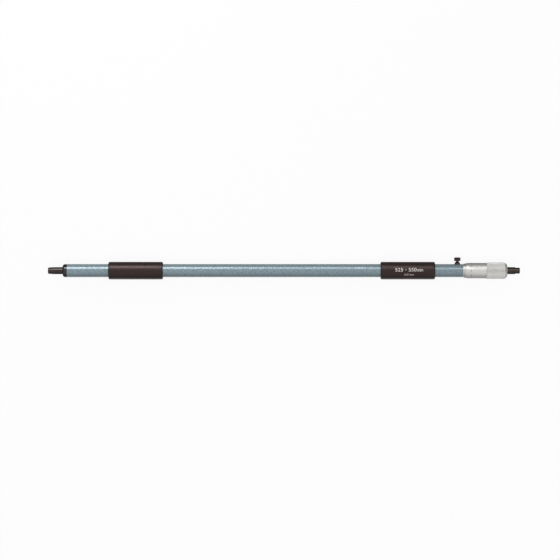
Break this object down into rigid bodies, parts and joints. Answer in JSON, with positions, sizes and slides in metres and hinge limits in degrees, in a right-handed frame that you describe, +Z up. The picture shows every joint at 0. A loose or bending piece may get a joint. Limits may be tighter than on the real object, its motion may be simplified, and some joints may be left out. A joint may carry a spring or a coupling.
{
  "type": "tubular inside micrometer",
  "caption": "Tubular inside micrometer: enamelled steel tube with two grips, a fixed spherical contact, and a micrometer head with thimble, moving contact and spindle lock.",
  "frame": {"origin": "middle of the fixed anvil's measuring face, on the axis of the tube", "axes": "+X along the tube from the fixed anvil to the thimble, +Z up as the tool lies on its two grips and the rim of its lock screw's head"},
  "size_m": [0.525, 0.024, 0.0194],
  "materials": {
    "tube_enamel": "hammered blue-grey enamel",
    "grip_plastic": "satin moulded dark brown plastic",
    "black_steel": "turned steel, black oxide",
    "carbide": "ground carbide",
    "satin_chrome": "satin chrome",
    "bright_steel": "ground and lapped steel",
    "black_screw": "knurled steel, black oxide",
    "brass": "turned brass"
  },
  "bodies": {
    "frame": {"main_tube": "tube_enamel", "front_grip": "grip_plastic", "rear_grip": "grip_plastic", "anvil_plug": "black_steel", "anvil": "black_steel", "anvil_tip": "carbide", "inner_sleeve": "bright_steel", "thread_adjusting_nut": "bright_steel", "lock_boss": "black_screw"},
    "scale_sleeve": {"graduated_sleeve": "satin_chrome"},
    "contact_point": {"spindle_tip": "carbide"},
    "thimble_and_spindle": {"thimble": "satin_chrome", "spindle": "bright_steel", "thimble_nut": "bright_steel", "contact_holder": "black_steel", "spindle_contact": "black_steel", "stop_washer": "bright_steel", "stop_screw": "bright_steel"},
    "clamp": {"clamp_plug": "brass"},
    "lock_screw": {"lock_screw": "black_screw"}
  },
  "joints": [
    {"name": "spindle_travel", "type": "slide", "parent": "frame", "child": "contact_point", "axis": [1, 0, 0], "range_m": [0, 0.025]},
    {"name": "thimble_turn", "type": "hinge", "parent": "contact_point", "child": "thimble_and_spindle", "pos_m": [0.5, 0, 0], "axis": [1, 0, 0], "range_deg": [0, 18000]},
    {"name": "zero_setting", "type": "hinge", "parent": "frame", "child": "scale_sleeve", "pos_m": [0.475, 0, 0], "axis": [1, 0, 0], "range_deg": [-15, 15]},
    {"name": "plug_lift", "type": "slide", "parent": "frame", "child": "clamp", "axis": [0, 0.8812, -0.4728], "range_m": [-0.00025, 0.0005]},
    {"name": "lock_turn", "type": "hinge", "parent": "clamp", "child": "lock_screw", "pos_m": [0.4554, 0.01101, -0.00591], "axis": [0, 0.8812, -0.4728], "range_deg": [-180, 360]}
  ],
  "couplings": [
    {"joint": "thimble_turn", "follows": "spindle_travel", "rad_per_m": 12566},
    {"joint": "lock_turn", "follows": "plug_lift", "rad_per_m": 12566}
  ]
}
